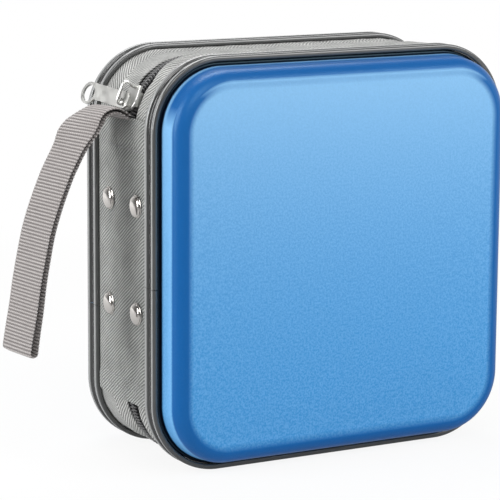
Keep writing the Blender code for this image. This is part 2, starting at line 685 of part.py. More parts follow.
cap_base = PATCH_OUTER + SEAT_GAP
hole_radius = RIVET_SHANK_RADIUS + SEAT_GAP
rivet_profile = [(0.0, cap_base + RIVET_CAP_HEIGHT)]
for step in range(1, 6):
    turn = math.radians(90) * step / 5
    rivet_profile.append((RIVET_CAP_RADIUS * math.sin(turn), cap_base + 0.3 * MM + (RIVET_CAP_HEIGHT - 0.3 * MM) * math.cos(turn)))
rivet_profile += [
    (RIVET_CAP_RADIUS, cap_base), (RIVET_SHANK_RADIUS, cap_base), (RIVET_SHANK_RADIUS, SHANK_END), (0.0, SHANK_END),
]
rivet_mesh = along_x(turned_mesh("rivet", rivet_profile, 16))
washer_profile = [
    (hole_radius, WASHER_OUTER), (WASHER_RADIUS, WASHER_OUTER), (WASHER_RADIUS, WASHER_INNER),
    (hole_radius, WASHER_INNER), (hole_radius, WASHER_OUTER),
]
washer_mesh = along_x(turned_mesh("washer", washer_profile, 12))

rivet_number = 0
for (column, column_y), binder in zip(binder_columns, binders):
    for row_z in RIVET_ROWS:
        rivet_number += 1
        for kind, mesh in (("rivet", rivet_mesh), ("washer", washer_mesh)):
            piece = add_part(f"{kind}_{rivet_number}", mesh, NICKEL)
            piece.location = (-HALF_WIDTH, column_y, row_z)
        hole_mesh = along_x(post_mesh(f"rivet_hole_{rivet_number}", hole_radius, SHANK_END - 1 * MM, cap_base, 0.0, RIVET_HOLE_STEPS))
        hole = add_guide(f"rivet_hole_{rivet_number}", hole_mesh)
        hole.location = (-HALF_WIDTH, column_y, row_z)
        for pierced in (spine_patch, spine_base, binder):
            boolean(pierced, hole)

# Bound sleeves: leaves that part from a solid bound edge, cut to the leaf's outline

leaf_left = -HALF_WIDTH - LEAF_START
leaf_right = HALF_WIDTH + TAPE_INNER - LEAF_EDGE_GAP
half_stack = STACK_DEPTH / 2
comb = [(leaf_left, half_stack), (leaf_left, -half_stack)]
for leaf in range(LEAF_COUNT):
    low = -half_stack + leaf * LEAF_PITCH
    comb += [(leaf_right, low), (leaf_right, low + LEAF_THICKNESS)]
    if leaf < LEAF_COUNT - 1:
        comb += [(leaf_left + LEAF_CREASE, low + LEAF_THICKNESS), (leaf_left + LEAF_CREASE, low + LEAF_PITCH)]

margin_half = BINDER_LENGTH / 2 - 2 * SEAT_GAP
leaf_half = LEAF_HEIGHT / 2
body_left = leaf_left + LEAF_MARGIN
leaf_outline = [(leaf_left - 1 * MM, -margin_half), (body_left, -margin_half)]
leaf_outline += arc_points(
    (body_left + LEAF_CORNER, -leaf_half + LEAF_CORNER), LEAF_CORNER, math.radians(180), math.radians(270), LEAF_STEPS
)
leaf_outline += arc_points(
    (leaf_right - LEAF_CORNER, -leaf_half + LEAF_CORNER), LEAF_CORNER, math.radians(270), math.radians(360), LEAF_STEPS
)
leaf_outline += [(leaf_right + 1 * MM, -leaf_half + LEAF_CORNER), (leaf_right + 1 * MM, leaf_half - LEAF_CORNER)]
leaf_outline += arc_points(
    (leaf_right - LEAF_CORNER, leaf_half - LEAF_CORNER), LEAF_CORNER, 0.0, math.radians(90), LEAF_STEPS
)
leaf_outline += arc_points(
    (body_left + LEAF_CORNER, leaf_half - LEAF_CORNER), LEAF_CORNER, math.radians(90), math.radians(180), LEAF_STEPS
)
leaf_outline += [(body_left, margin_half), (leaf_left - 1 * MM, margin_half)]
leaf_cut_mesh = plate_mesh("leaf_outline", [leaf_outline], STACK_DEPTH + 4 * MM)
leaf_cut_mesh.transform(Matrix.Rotation(math.radians(90), 4, "X"))
for column, column_y in binder_columns:
    leaf_cut = add_guide(column + "_leaf_outline", leaf_cut_mesh)
    leaf_cut.location = (0.0, column_y, MID_HEIGHT)
    sleeves = add_part(column + "_sleeves", plan_mesh(column + "_sleeves", comb, LEAF_HEIGHT + 4 * MM), SLEEVE_FILM)
    sleeves.location = (0.0, column_y, 0.0)
    boolean(sleeves, leaf_cut, "INTERSECT")

# Hand strap: up from the patch's top edge, over in an arch and down beside the spine, then back on itself.
# Its centre line is given from the slider's middle, because the pull tab lies on the arch.

STRAP_COURSE = [
    (-2.3, -6.8), (-3.8, -5.1), (-5.5, -3.95), (-7.4, -3.4), (-9.5, -3.6), (-12.5, -5.2), (-16.4, -8.6),
    (-20.9, -14.0), (-25.4, -20.6), (-29.1, -27.4), (-33.5, -38.4), (-37.1, -49.4), (-39.9, -61.4),
    (-42.4, -72.9), (-44.4, -83.9), (-45.6, -93.8),
]
slider_middle = Vector((-CORNER_X, CORNER_TOP_Z)) + CORNER_RADIUS * Vector((math.cos(SLIDER_ANGLE), math.sin(SLIDER_ANGLE)))


def smooth_course(points, step):
    """Points a step apart along the smooth curve through a list of points."""
    ends = [points[0]] + list(points) + [points[-1]]
    fine = []
    for index in range(1, len(ends) - 2):
        p0, p1, p2, p3 = (Vector(ends[index + shift]) for shift in (-1, 0, 1, 2))
        for part_step in range(20):
            t = part_step / 20
            fine.append(0.5 * (
                2 * p1 + (p2 - p0) * t + (2 * p0 - 5 * p1 + 4 * p2 - p3) * t ** 2
                + (3 * p1 - p0 - 3 * p2 + p3) * t ** 3
            ))
    fine.append(Vector(points[-1]))
    spaced = [fine[0]]
    for point in fine[1:]:
        if (point - spaced[-1]).length >= step:
            spaced.append(point)
    return spaced


course = [slider_middle + Vector((x * MM, z * MM)) for x, z in STRAP_COURSE]
course = smooth_course(course, STRAP_STEP)
course_length = sum((b - a).length for a, b in zip(course[:-1], course[1:]))
folded = []
travelled = 0.0
for index, point in enumerate(course):
    before = course[max(index - 1, 0)]
    after = course[min(index + 1, len(course) - 1)]
    if index:
        travelled += (point - before).length
    direction = (after - before).normalized()
    inward = Vector((-direction.y, direction.x))
    share = travelled / course_length
    spread = STRAP_THICKNESS + STRAP_LAYER_GAP + (STRAP_FOLD_GAP - STRAP_LAYER_GAP) * share ** 2
    folded.append(point + inward * spread)
fold_centre = (course[-1] + folded[-1]) / 2
fold_radius = (course[-1] - folded[-1]).length / 2
fold_start = math.atan2(*reversed(course[-1] - fold_centre))
fold = arc_points(fold_centre, fold_radius, fold_start, fold_start + math.pi, 8)[1:-1]
strap_path = [tuple(p) for p in course] + fold + [tuple(p) for p in reversed(folded)]
strap_mesh = swept_mesh(
    "hand_strap", strap_path,
    box_section(-STRAP_THICKNESS / 2, STRAP_THICKNESS / 2, STRAP_Y - STRAP_WIDTH / 2, STRAP_Y + STRAP_WIDTH / 2), False,
)
add_part("hand_strap", shade(strap_mesh), WEBBING)

# The whole object is centred on X, with the strap counted
strap_reach = min(vertex.co.x for vertex in strap_mesh.vertices)
origin.location = (-(strap_reach + HALF_WIDTH) / 2, 0.0, 0.0)
bpy.context.view_layer.update()
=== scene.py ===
"""Looks for a hard-shell zip case for discs, standing on its rims with the spine and strap towards the left.

Sizes and places are in mm from the middle of the case's foot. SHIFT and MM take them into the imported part's
frame, which also counts the strap and is in metres. Sections of the walls are (offset, y): the offset runs
outward from the rims' outermost line, and distances along that line start at the middle of the spine and go
up and over.
"""
import math

import bmesh
import bpy
import numpy as np
from mathutils import Matrix, Vector


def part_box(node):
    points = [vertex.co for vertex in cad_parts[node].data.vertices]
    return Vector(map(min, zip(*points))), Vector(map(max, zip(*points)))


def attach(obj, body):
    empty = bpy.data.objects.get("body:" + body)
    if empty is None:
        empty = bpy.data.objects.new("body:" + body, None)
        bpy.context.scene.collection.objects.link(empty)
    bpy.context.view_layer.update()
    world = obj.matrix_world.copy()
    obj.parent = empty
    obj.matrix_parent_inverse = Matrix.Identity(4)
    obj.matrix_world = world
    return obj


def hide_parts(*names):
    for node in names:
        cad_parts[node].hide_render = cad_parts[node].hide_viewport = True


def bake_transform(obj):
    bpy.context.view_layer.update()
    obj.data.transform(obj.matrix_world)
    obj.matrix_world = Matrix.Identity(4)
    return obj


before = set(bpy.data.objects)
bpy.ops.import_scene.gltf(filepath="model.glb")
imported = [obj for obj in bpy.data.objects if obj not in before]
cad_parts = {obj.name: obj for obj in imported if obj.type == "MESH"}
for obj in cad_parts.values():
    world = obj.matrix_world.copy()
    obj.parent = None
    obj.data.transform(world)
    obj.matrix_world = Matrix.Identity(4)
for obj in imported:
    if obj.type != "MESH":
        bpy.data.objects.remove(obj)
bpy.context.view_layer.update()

MM = 0.001
HALF_W = 77.5
HEIGHT = 159.0
CORNER = 28.0
MID = HEIGHT / 2
SIDE = HEIGHT - 2 * CORNER
TOP = 2 * HALF_W - 2 * CORNER
ARC = CORNER * math.pi / 2
LOOP = 2 * SIDE + 2 * TOP + 4 * ARC
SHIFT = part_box("front_rim")[0][0] / MM + HALF_W
ZIP_Y = -6.0
PATCH_TOP = 135.0
PATCH_BOTTOM = 24.5
RIB_PITCH = 1.3

# The rims: each has two round ridges beside a stitched groove, given by their distance from the middle plane
RIDGE_YS = (27.75, 22.25)
RIDGE_HALF_WIDTH = 1.2
RIDGE_RISE = 0.62
GROOVE_Y = 25.0
GROOVE_OFFSET = -1.08
RIM_INNER_Y = 21.0
RIM_STITCHES = 103
JOINT_AT = {"front": -7.0, "back": -22.0}

# The shells: a flange under the rim's lip, a wall with some draft, a round shoulder and a slightly crowned face
FACE_Y = 40.0
SHELL_OFFSET = -3.45
SHELL_DRAFT = 0.9
SHELL_FILLET = 5.5
SHELL_FLANGE_Y = 27.85
SHELL_CROWN = 0.22
SHELL_WALL = 1.1

# The cloth walls, which start under the rims' inner ridges, and the zip between them
GUSSET_Y = 26.0
GUSSET_OUTER = -2.2
GUSSET_INNER = -3.05
GUSSET_TO_ZIP = 4.2
FOLD_RADIUS = 0.45
TAPE_OUTER = -3.4
TAPE_INNER = -4.0
TAPE_WIDTH = 9.6
COIL_PITCH = 1.5
COIL_OFFSET = -2.6
COIL_INSET = 8.4
FILAMENT_RADIUS = 0.33
FILAMENT_STEPS = 14

# The spine's patch and its rivets, as (y, z)
PATCH_HALF_WIDTH = 20.6
PATCH_OUTER = -1.0
PATCH_INNER = -1.9
RIVETS = [(y, z) for y in (-12.5, 11.0) for z in (60.3, 101.7)]

# Lies towards the left of the camera, where glossy rays find the studio's dark end
DARK_END = (-0.85, -0.52)

SEGMENTS = [
    ("line", SIDE / 2, (-HALF_W, MID), (0, 1), (-1, 0)),
    ("arc", ARC, (-HALF_W + CORNER, HEIGHT - CORNER), 180),
    ("line", TOP, (-HALF_W + CORNER, HEIGHT), (1, 0), (0, 1)),
    ("arc", ARC, (HALF_W - CORNER, HEIGHT - CORNER), 90),
    ("line", SIDE, (HALF_W, HEIGHT - CORNER), (0, -1), (1, 0)),
    ("arc", ARC, (HALF_W - CORNER, CORNER), 0),
    ("line", TOP, (HALF_W - CORNER, 0), (-1, 0), (0, -1)),
    ("arc", ARC, (-HALF_W + CORNER, CORNER), -90),
    ("line", SIDE / 2, (-HALF_W, CORNER), (0, 1), (-1, 0)),
]


def perimeter(s):
    """Point (x, z) and outward normal at a distance along the rims' outermost line."""
    s = s % LOOP
    for segment in SEGMENTS:
        if s <= segment[1] + 1e-9:
            break
        s -= segment[1]
    if segment[0] == "line":
        (x, z), (dx, dz), normal = segment[2:]
        return x + dx * s, z + dz * s, normal[0], normal[1]
    (x, z), start = segment[2:]
    turn = math.radians(start) - s / CORNER
    return x + CORNER * math.cos(turn), z + CORNER * math.sin(turn), math.cos(turn), math.sin(turn)


def spine_distance(z):
    """Distance along the perimeter at which the spine's side is at a height."""
    if z > HEIGHT - CORNER:
        return SIDE / 2 + math.asin((z - HEIGHT + CORNER) / CORNER) * CORNER
    if z < CORNER:
        return -(SIDE / 2 + math.asin((CORNER - z) / CORNER) * CORNER)
    return z - MID


def stations(start, end, straight, bend):
    """Distances from start to end, close together round the corners."""
    marks = [start]
    bounds = []
    for turn in range(-1, 3):
        total = turn * LOOP
        for segment in SEGMENTS:
            bounds.append((total, total + segment[1], bend if segment[0] == "arc" else straight))
            total += segment[1]
    for low, high, step in bounds:
        low, high = max(low, start), min(high, end)
        if high - low < 1e-6:
            continue
        count = max(1, round((high - low) / step))
        marks += [low + (high - low) * (i + 1) / count for i in range(count)]
    return marks


def grid_mesh(name, grid, uv=None, close_u=False, close_v=False, caps=False):
    """A mesh from rows of points in mm, with UVs in mm."""
    grid = np.asarray(grid, float)
    rows, cols = grid.shape[:2]
    mesh = bpy.data.meshes.new(name)
    verts = (grid.reshape(-1, 3) + np.array([SHIFT, 0, 0])) * MM
    faces = []
    corners = []
    for i in range(rows if close_u else rows - 1):
        for j in range(cols if close_v else cols - 1):
            a, b = (i + 1) % rows, (j + 1) % cols
            faces.append((i * cols + j, a * cols + j, a * cols + b, i * cols + b))
            corners.append(((i, j), (i + 1, j), (i + 1, j + 1), (i, j + 1)))
    if caps:
        faces.append(tuple(range(cols)))
        faces.append(tuple((rows - 1) * cols + j for j in reversed(range(cols))))
    mesh.from_pydata(verts.tolist(), [], faces)
    if uv is not None:
        us, vs = uv
        layer = mesh.uv_layers.new(name="weave")
        data = []
        for quad in corners:
            for i, j in quad:
                data += [us[i], vs[j]]
        for face in faces[len(corners):]:
            for index in face:
                data += [us[0], vs[index % cols]]
        layer.data.foreach_set("uv", data)
    mesh.validate()
    mesh.shade_smooth()
    return mesh


def lengths(points):
    """Distance of each point along the line through them."""
    points = np.asarray(points, float)
    steps = np.linalg.norm(np.diff(points, axis=0), axis=1)
    return np.concatenate([[0.0], np.cumsum(steps)])


def sweep(name, marks, section, close_u=False, close_v=True, caps=False, wave=None):
    """A section of (offset, y) points carried along the perimeter. wave(s, offset, y) adds to the offset."""
    grid = []
    for s in marks:
        x, z, nx, nz = perimeter(s)
        row = []
        for offset, y in section:
            out = offset + (wave(s, offset, y) if wave else 0.0)
            row.append((x + nx * out, y, z + nz * out))
        grid.append(row)
    vs = list(lengths(section))
    if close_v:
        vs.append(vs[-1] + math.dist(section[0], section[-1]))
    us = list(marks)
    if close_u:
        us.append(marks[-1] + (marks[1] - marks[0]))
    return grid_mesh(name, grid, (us, vs), close_u, close_v, caps)


def fix_normals(mesh):
    bm = bmesh.new()
    bm.from_mesh(mesh)
    bmesh.ops.remove_doubles(bm, verts=bm.verts, dist=1e-7)
    bmesh.ops.recalc_face_normals(bm, faces=bm.faces)
    bm.to_mesh(mesh)
    bm.free()


def add(name, mesh, material, body=None, replaces=(), crease=None):
    """Puts a mesh in the scene as a piece, under its body when one is given."""
    piece = bpy.data.objects.new(name, mesh)
    mesh.materials.clear()
    mesh.materials.append(material)
    bpy.context.scene.collection.objects.link(piece)
    fix_normals(mesh)
    if crease:
        mesh.set_sharp_from_angle(angle=math.radians(crease))
    if body:
        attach(piece, body)
    if replaces:
        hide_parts(*replaces)
    return piece


def join(name, meshes):
    """One mesh from several, with their UVs. The several are deleted."""
    bm = bmesh.new()
    for mesh in meshes:
        bm.from_mesh(mesh)
    joined = bpy.data.meshes.new(name)
    bm.to_mesh(joined)
    bm.free()
    for mesh in meshes:
        bpy.data.meshes.remove(mesh)
    joined.shade_smooth()
    return joined


def apply_modifiers(piece):
    bpy.context.view_layer.update()
    graph = bpy.context.evaluated_depsgraph_get()
    mesh = bpy.data.meshes.new_from_object(piece.evaluated_get(graph))
    piece.modifiers.clear()
    piece.data = mesh


# Materials


class Nodes:
    """A material under construction."""

    def __init__(self, name, roughness, metallic=0.0, **sockets):
        self.material = bpy.data.materials.new(name)
        self.material.use_nodes = True
        self.tree = self.material.node_tree
        self.shader = self.tree.nodes["Principled BSDF"]
        self.shader.inputs["Roughness"].default_value = roughness
        self.shader.inputs["Metallic"].default_value = metallic
        for socket, value in sockets.items():
            self.shader.inputs[socket.replace("_", " ")].default_value = value

    def node(self, kind, **settings):
        made = self.tree.nodes.new(kind)
        for key, value in settings.items():
            setattr(made, key, value)
        return made

    def put(self, socket, value):
        if isinstance(value, bpy.types.NodeSocket):
            self.tree.links.new(value, socket)
        elif value is not None:
            socket.default_value = value

    def coords(self):
        """Object coordinates in mm."""
        mapping = self.node("ShaderNodeMapping")
        self.put(mapping.inputs["Vector"], self.node("ShaderNodeTexCoord").outputs["Object"])
        mapping.inputs["Scale"].default_value = (1000, 1000, 1000)
        return mapping.outputs["Vector"]

    def weave(self):
        """The cloth's own coordinates in mm: along the perimeter or the strap, and across it."""
        return self.node("ShaderNodeUVMap", uv_map="weave").outputs["UV"]

    def math(self, operation, a, b=None, c=None, clamp=False):
        made = self.node("ShaderNodeMath", operation=operation, use_clamp=clamp)
        for socket, value in zip(made.inputs, (a, b, c)):
            self.put(socket, value)
        return made.outputs[0]

    def split(self, vector):
        made = self.node("ShaderNodeSeparateXYZ")
        self.put(made.inputs[0], vector)
        return made.outputs

    def noise(self, vector, scale, detail=3.0, rough=0.5):
        made = self.node("ShaderNodeTexNoise")
        self.put(made.inputs["Vector"], vector)
        made.inputs["Scale"].default_value = scale
        made.inputs["Detail"].default_value = detail
        made.inputs["Roughness"].default_value = rough
        return made.outputs["Fac"]

    def voronoi(self, vector, scale):
        made = self.node("ShaderNodeTexVoronoi", feature="SMOOTH_F1")
        self.put(made.inputs["Vector"], vector)
        made.inputs["Scale"].default_value = scale
        return made.outputs["Distance"]

    def mix(self, factor, a, b):
        made = self.node("ShaderNodeMix", data_type="RGBA")
        self.put(made.inputs[0], factor)
        self.put(made.inputs[6], (*a, 1.0) if isinstance(a, tuple) else a)
        self.put(made.inputs[7], (*b, 1.0) if isinstance(b, tuple) else b)
        return made.outputs[2]

    def range(self, value, low, high, to_low, to_high):
        made = self.node("ShaderNodeMapRange")
        for index, item in enumerate((value, low, high, to_low, to_high)):
            self.put(made.inputs[index], item)
        return made.outputs[0]

    def beyond(self, value, limit):
        """How far a value lies past a limit on either side of 0."""
        return self.math("MAXIMUM", self.math("SUBTRACT", self.math("ABSOLUTE", value), limit), 0.0)

    def band(self, value, low, low_full, high_full, high):
        """1 between the two inner values, fading to 0 at the outer ones."""
        rise = self.range(value, low, low_full, 0.0, 1.0)
        return self.math("MULTIPLY", rise, self.range(value, high_full, high, 1.0, 0.0))

    def bump(self, height, distance, strength):
        made = self.node("ShaderNodeBump")
        made.inputs["Strength"].default_value = strength
        made.inputs["Distance"].default_value = distance
        self.put(made.inputs["Height"], height)
        return made.outputs["Normal"]

    def wave(self, value, pitch, phase=0.0):
        """0 to 1 and back, once every pitch."""
        turned = self.math("MULTIPLY_ADD", value, 2 * math.pi / pitch, phase)
        return self.math("MULTIPLY_ADD", self.math("SINE", turned), 0.5, 0.5)

    def done(self, colour, roughness, normal):
        self.put(self.shader.inputs["Base Color"], colour)
        self.put(self.shader.inputs["Roughness"], roughness)
        self.put(self.shader.inputs["Normal"], normal)
        return self.material


def blue_plastic():
    """Satin moulded plastic. Painted shade: deeper blue on the shoulder and lower edge, near black in the seam.
    Painted light: paler towards the top and on the side wall.
    """
    m = Nodes("satin_blue", 0.34, IOR=1.5, Specular_IOR_Level=0.45, Specular_Tint=(0.45, 0.80, 1.0, 1.0))
    place = m.coords()
    grain = m.voronoi(place, 1.7)
    fine = m.noise(place, 1.25, 4.0, 0.7)
    x, y, z = m.split(place)
    _, facing, rise = m.split(m.node("ShaderNodeTexCoord").outputs["Normal"])
    facing = m.math("ABSOLUTE", facing)
    depth = m.math("ABSOLUTE", y)
    # Distance inward from the rims' outermost line
    reach_x = m.beyond(m.math("SUBTRACT", x, SHIFT), HALF_W - CORNER)
    reach_z = m.beyond(m.math("SUBTRACT", z, MID), MID - CORNER)
    square = m.math("MULTIPLY_ADD", reach_x, reach_x, m.math("MULTIPLY", reach_z, reach_z))
    inward = m.math("SUBTRACT", CORNER, m.math("SQRT", square))
    # Painted shade: a deeper blue painted on the shoulder, which also covers the wall where that faces up, and on
    # the lower edge
    over = m.math("MULTIPLY", m.range(rise, 0.12, 0.44, 0.0, 1.0), m.range(depth, 29.9, 31.4, 0.0, 1.0))
    painted_shade_zone = m.math("MAXIMUM", over, m.range(facing, 0.145, 0.29, 0.0, 1.0))
    below_top = m.range(z, HEIGHT - 14.0, HEIGHT - 8.5, 1.0, 0.0)
    soft = m.math("MULTIPLY", below_top, m.range(inward, 9.2, 11.6, 1.0, 0.0))
    shoulder = m.math("MULTIPLY", painted_shade_zone, m.math("MAXIMUM", soft, m.range(facing, 0.93, 0.9985, 1.0, 0.0)))
    foot = m.math("MULTIPLY", m.range(z, 8.5, 12.5, 0.9, 0.0), m.range(facing, 0.6, 0.9, 0.0, 1.0))
    # Painted light: the blue is painted paler towards the top
    climb = m.range(z, 20.0, 145.0, 0.0, 1.0)
    colour = m.mix(m.math("MULTIPLY", climb, climb), (0.036, 0.235, 0.542), (0.205, 0.428, 0.688))
    speck = m.range(fine, 0.40, 0.60, 0.0, 1.0)
    colour = m.mix(m.math("MULTIPLY", speck, 0.34), colour, (0.24, 0.50, 0.80))
    # Painted highlight: the wall painted paler where it faces sideways
    colour = m.mix(m.range(facing, 0.05, 0.2, 0.75, 0.0), colour, (0.215, 0.485, 0.810))
    # Painted shade: deeper blue on the shoulder and the lower edge
    colour = m.mix(m.math("MULTIPLY", m.math("MAXIMUM", shoulder, foot), 0.97), colour, (0.0, 0.085, 0.305))
    # Painted shade: near black in the seam under the rims' lips
    colour = m.mix(m.range(depth, 28.9, 29.5, 1.0, 0.0), colour, (0.002, 0.004, 0.014))
    height = m.math("MULTIPLY_ADD", grain, 0.6, m.math("MULTIPLY", fine, 0.7))
    rough = m.range(fine, 0.3, 0.7, 0.30, 0.42)
    return m.done(colour, rough, m.bump(height, 0.0001, 0.7))


def rim_plastic():
    """Glossy grey plastic, with a painted highlight paler along the ridges' tops and painted shade near black in the
    groove.
    """
    m = Nodes("rim_grey", 0.24, IOR=1.62, Specular_IOR_Level=0.7, Coat_Weight=0.3, Coat_Roughness=0.08)
    place = m.coords()
    drift = m.noise(place, 0.05, 3.0)
    scuff = m.noise(place, 0.12, 3.0)
    colour = m.mix(drift, (0.040, 0.042, 0.042), (0.058, 0.060, 0.059))
    depth = m.math("ABSOLUTE", m.split(place)[1])
    # Painted highlight: the ridges' tops painted paler
    painted_crest_highlight = m.math("MAXIMUM", m.band(depth, 21.2, 21.9, 22.8, 23.4), m.band(depth, 26.7, 27.2, 28.0, 28.5))
    colour = m.mix(m.math("MULTIPLY", painted_crest_highlight, 0.8), colour, (0.350, 0.355, 0.355))
    # Painted shade: the groove painted near black
    groove = m.band(depth, 23.4, 23.8, 26.2, 26.6)
    colour = m.mix(m.math("MULTIPLY", groove, 0.85), colour, (0.012, 0.012, 0.013))
    rough = m.range(scuff, 0.3, 0.75, 0.2, 0.25)
    return m.done(colour, rough, m.bump(drift, 0.00002, 0.2))


def twill_cloth(name, dark, light, pitch, lean=0.7, column=0.0):
    """Twill whose ribs climb across the cloth, turning back at each column, with the weave's threads over them."""
    m = Nodes(name, 0.85, Sheen_Weight=0.1, Sheen_Roughness=0.5)
    place = m.weave()
    u, v, _ = m.split(place)
    stray = m.math("MULTIPLY", m.noise(place, 0.16, 3.0), 0.6)
    across = m.math("PINGPONG", v, column) if column else v
    climb = m.math("ADD", m.math("MULTIPLY_ADD", across, lean, u), stray)
    diagonal = m.wave(climb, pitch)
    cross = m.wave(m.math("MULTIPLY_ADD", v, -1.3, u), pitch * 0.62)
    drift = m.noise(place, 0.1, 3.0)
    slub = m.noise(place, 2.0, 4.0, 0.65)
    height = m.math("MULTIPLY_ADD", diagonal, 0.8, m.math("MULTIPLY", cross, 0.3))
    shade = m.math("MULTIPLY_ADD", slub, 0.35, m.math("MULTIPLY_ADD", height, 0.95, -0.22), clamp=True)
    colour = m.mix(shade, dark, light)
    colour = m.mix(m.range(drift, 0.35, 0.7, 0.0, 0.35), colour, tuple(c * 1.2 for c in dark))
    return m.done(colour, m.range(slub, 0.3, 0.7, 0.75, 0.95), m.bump(height, 0.00022, 0.9))


def plain_cloth(name, dark, light, pitch=0.8):
    """Plain weave, also used for sewing thread."""
    m = Nodes(name, 0.9, Sheen_Weight=0.1, Sheen_Roughness=0.5)
    place = m.weave()
    u, v, _ = m.split(place)
    shift = m.math("MULTIPLY", m.math("FLOOR", m.math("DIVIDE", v, pitch)), pitch / 2)
    warp = m.wave(m.math("ADD", u, shift), pitch)
    weft = m.wave(v, pitch)
    slub = m.noise(place, 1.8, 4.0, 0.65)
    height = m.math("MULTIPLY_ADD", warp, 0.6, m.math("MULTIPLY", weft, 0.4))
    shade = m.math("MULTIPLY_ADD", slub, 0.6, m.math("MULTIPLY", height, 0.45), clamp=True)
    return m.done(m.mix(shade, dark, light), m.range(slub, 0.3, 0.7, 0.78, 0.97), m.bump(height, 0.0001, 0.7))


def webbing_cloth():
    """Webbing whose ribs run across it and match the ones in the strap's mesh."""
    m = Nodes("ribbed_webbing", 0.75, Sheen_Weight=0.15, Sheen_Roughness=0.45)
    place = m.weave()
    u, v, _ = m.split(place)
    rib = m.wave(u, RIB_PITCH, -math.pi / 2)
    step = m.math("MULTIPLY", m.math("FLOOR", m.math("DIVIDE", u, RIB_PITCH)), 0.6)
    yarn = m.wave(m.math("ADD", v, step), 1.2)
    slub = m.noise(place, 1.7, 4.0, 0.6)
    drift = m.noise(place, 0.06, 2.0)
    height = m.math("MULTIPLY_ADD", rib, 0.7, m.math("MULTIPLY", yarn, 0.35))
    shade = m.math("MULTIPLY_ADD", slub, 0.3, m.math("MULTIPLY_ADD", height, 0.95, -0.2), clamp=True)
    colour = m.mix(shade, (0.090, 0.078, 0.075), (0.535, 0.502, 0.488))
    colour = m.mix(m.range(drift, 0.3, 0.7, 0.0, 0.2), colour, (0.24, 0.215, 0.21))
    return m.done(colour, m.range(slub, 0.3, 0.7, 0.62, 0.85), m.bump(height, 0.0002, 0.8))


def nickel_metal(name, base, roughness):
    m = Nodes(name, roughness, metallic=1.0)
    place = m.coords()
    cloud = m.noise(place, 0.25)
    fine = m.noise(place, 3.0, 3.0, 0.6)
    colour = m.mix(cloud, base, tuple(min(1.0, c * 1.15) for c in base))
    rough = m.range(cloud, 0.3, 0.7, roughness * 0.85, roughness * 1.2)
    return m.done(colour, rough, m.bump(fine, 0.00001, 0.15))


def black_nylon(name, base, roughness):
    m = Nodes(name, roughness, Specular_IOR_Level=0.6)
    place = m.coords()
    drift = m.noise(place, 0.6, 4.0, 0.6)
    colour = m.mix(drift, base, tuple(c * 2.2 + 0.01 for c in base))
    return m.done(colour, m.range(drift, 0.3, 0.7, roughness * 0.8, roughness * 1.2), m.bump(drift, 0.00004, 0.3))


def film():
    m = Nodes("sleeve_film", 0.25, Specular_IOR_Level=0.6, Coat_Weight=0.3, Coat_Roughness=0.1)
    place = m.coords()
    cloud = m.noise(place, 0.08, 3.0)
    fleece = m.noise(place, 2.5, 5.0, 0.7)
    colour = m.mix(fleece, (0.42, 0.42, 0.43), (0.66, 0.66, 0.67))
    return m.done(colour, m.range(cloud, 0.3, 0.7, 0.2, 0.45), m.bump(fleece, 0.00005, 0.4))


BLUE = blue_plastic()
RIM = rim_plastic()
TWILL = twill_cloth("gusset_twill", (0.070, 0.073, 0.070), (0.66, 0.66, 0.64), pitch=1.65, lean=0.9, column=15.5)
PATCH = twill_cloth("patch_twill", (0.070, 0.074, 0.071), (0.53, 0.54, 0.52), pitch=1.35)
LINING = plain_cloth("lining_knit", (0.012, 0.012, 0.013), (0.045, 0.045, 0.047))
TAPE = plain_cloth("zip_tape_weave", (0.006, 0.006, 0.006), (0.03, 0.03, 0.031), pitch=0.6)
COIL = black_nylon("coil_nylon", (0.075, 0.075, 0.076), 0.3)
BINDER = black_nylon("binder_plastic", (0.014, 0.014, 0.015), 0.45)
WEBBING = webbing_cloth()
NICKEL = nickel_metal("matt_nickel", (0.64, 0.64, 0.62), 0.34)
CHROME = nickel_metal("bright_nickel", (0.74, 0.71, 0.68), 0.1)
FILM = film()
THREAD = plain_cloth("grey_thread", (0.10, 0.10, 0.105), (0.46, 0.46, 0.47), pitch=0.4)
RIM_THREAD = plain_cloth("rim_thread", (0.030, 0.030, 0.032), (0.125, 0.126, 0.128), pitch=0.4)

# Camera, floor and light

CAMERA_PLACE = (-476.361, -822.774, 255.44)
CAMERA_YAW = -0.5062
CAMERA_PITCH = -0.1862
CAMERA_ROLL = 0.0064
FOCAL_PIXELS = 2430.87
FRAME_PIXELS = 500
SENSOR_WIDTH = 36.0


def add_camera():
    """The camera, whose focal length was fitted in pixels of a square frame."""
    data = bpy.data.cameras.new("camera")
    camera = bpy.data.objects.new("camera", data)
    bpy.context.scene.collection.objects.link(camera)
    bpy.context.scene.camera = camera
    right = Vector((math.cos(CAMERA_YAW), math.sin(CAMERA_YAW), 0))
    level = Vector((-math.sin(CAMERA_YAW), math.cos(CAMERA_YAW), 0))
    ahead = level * math.cos(CAMERA_PITCH) + Vector((0, 0, 1)) * math.sin(CAMERA_PITCH)
    up = right.cross(ahead)
    rolled_right = right * math.cos(CAMERA_ROLL) + up * math.sin(CAMERA_ROLL)
    rolled_up = -right * math.sin(CAMERA_ROLL) + up * math.cos(CAMERA_ROLL)
    turn = Matrix((rolled_right, rolled_up, -ahead)).transposed().to_4x4()
    x, y, z = CAMERA_PLACE
    camera.matrix_world = Matrix.Translation(((x + SHIFT) * MM, y * MM, z * MM)) @ turn
    data.sensor_width = SENSOR_WIDTH
    data.lens = SENSOR_WIDTH * FOCAL_PIXELS / FRAME_PIXELS
    data.clip_start = 0.05
    data.clip_end = 20.0


add_camera()


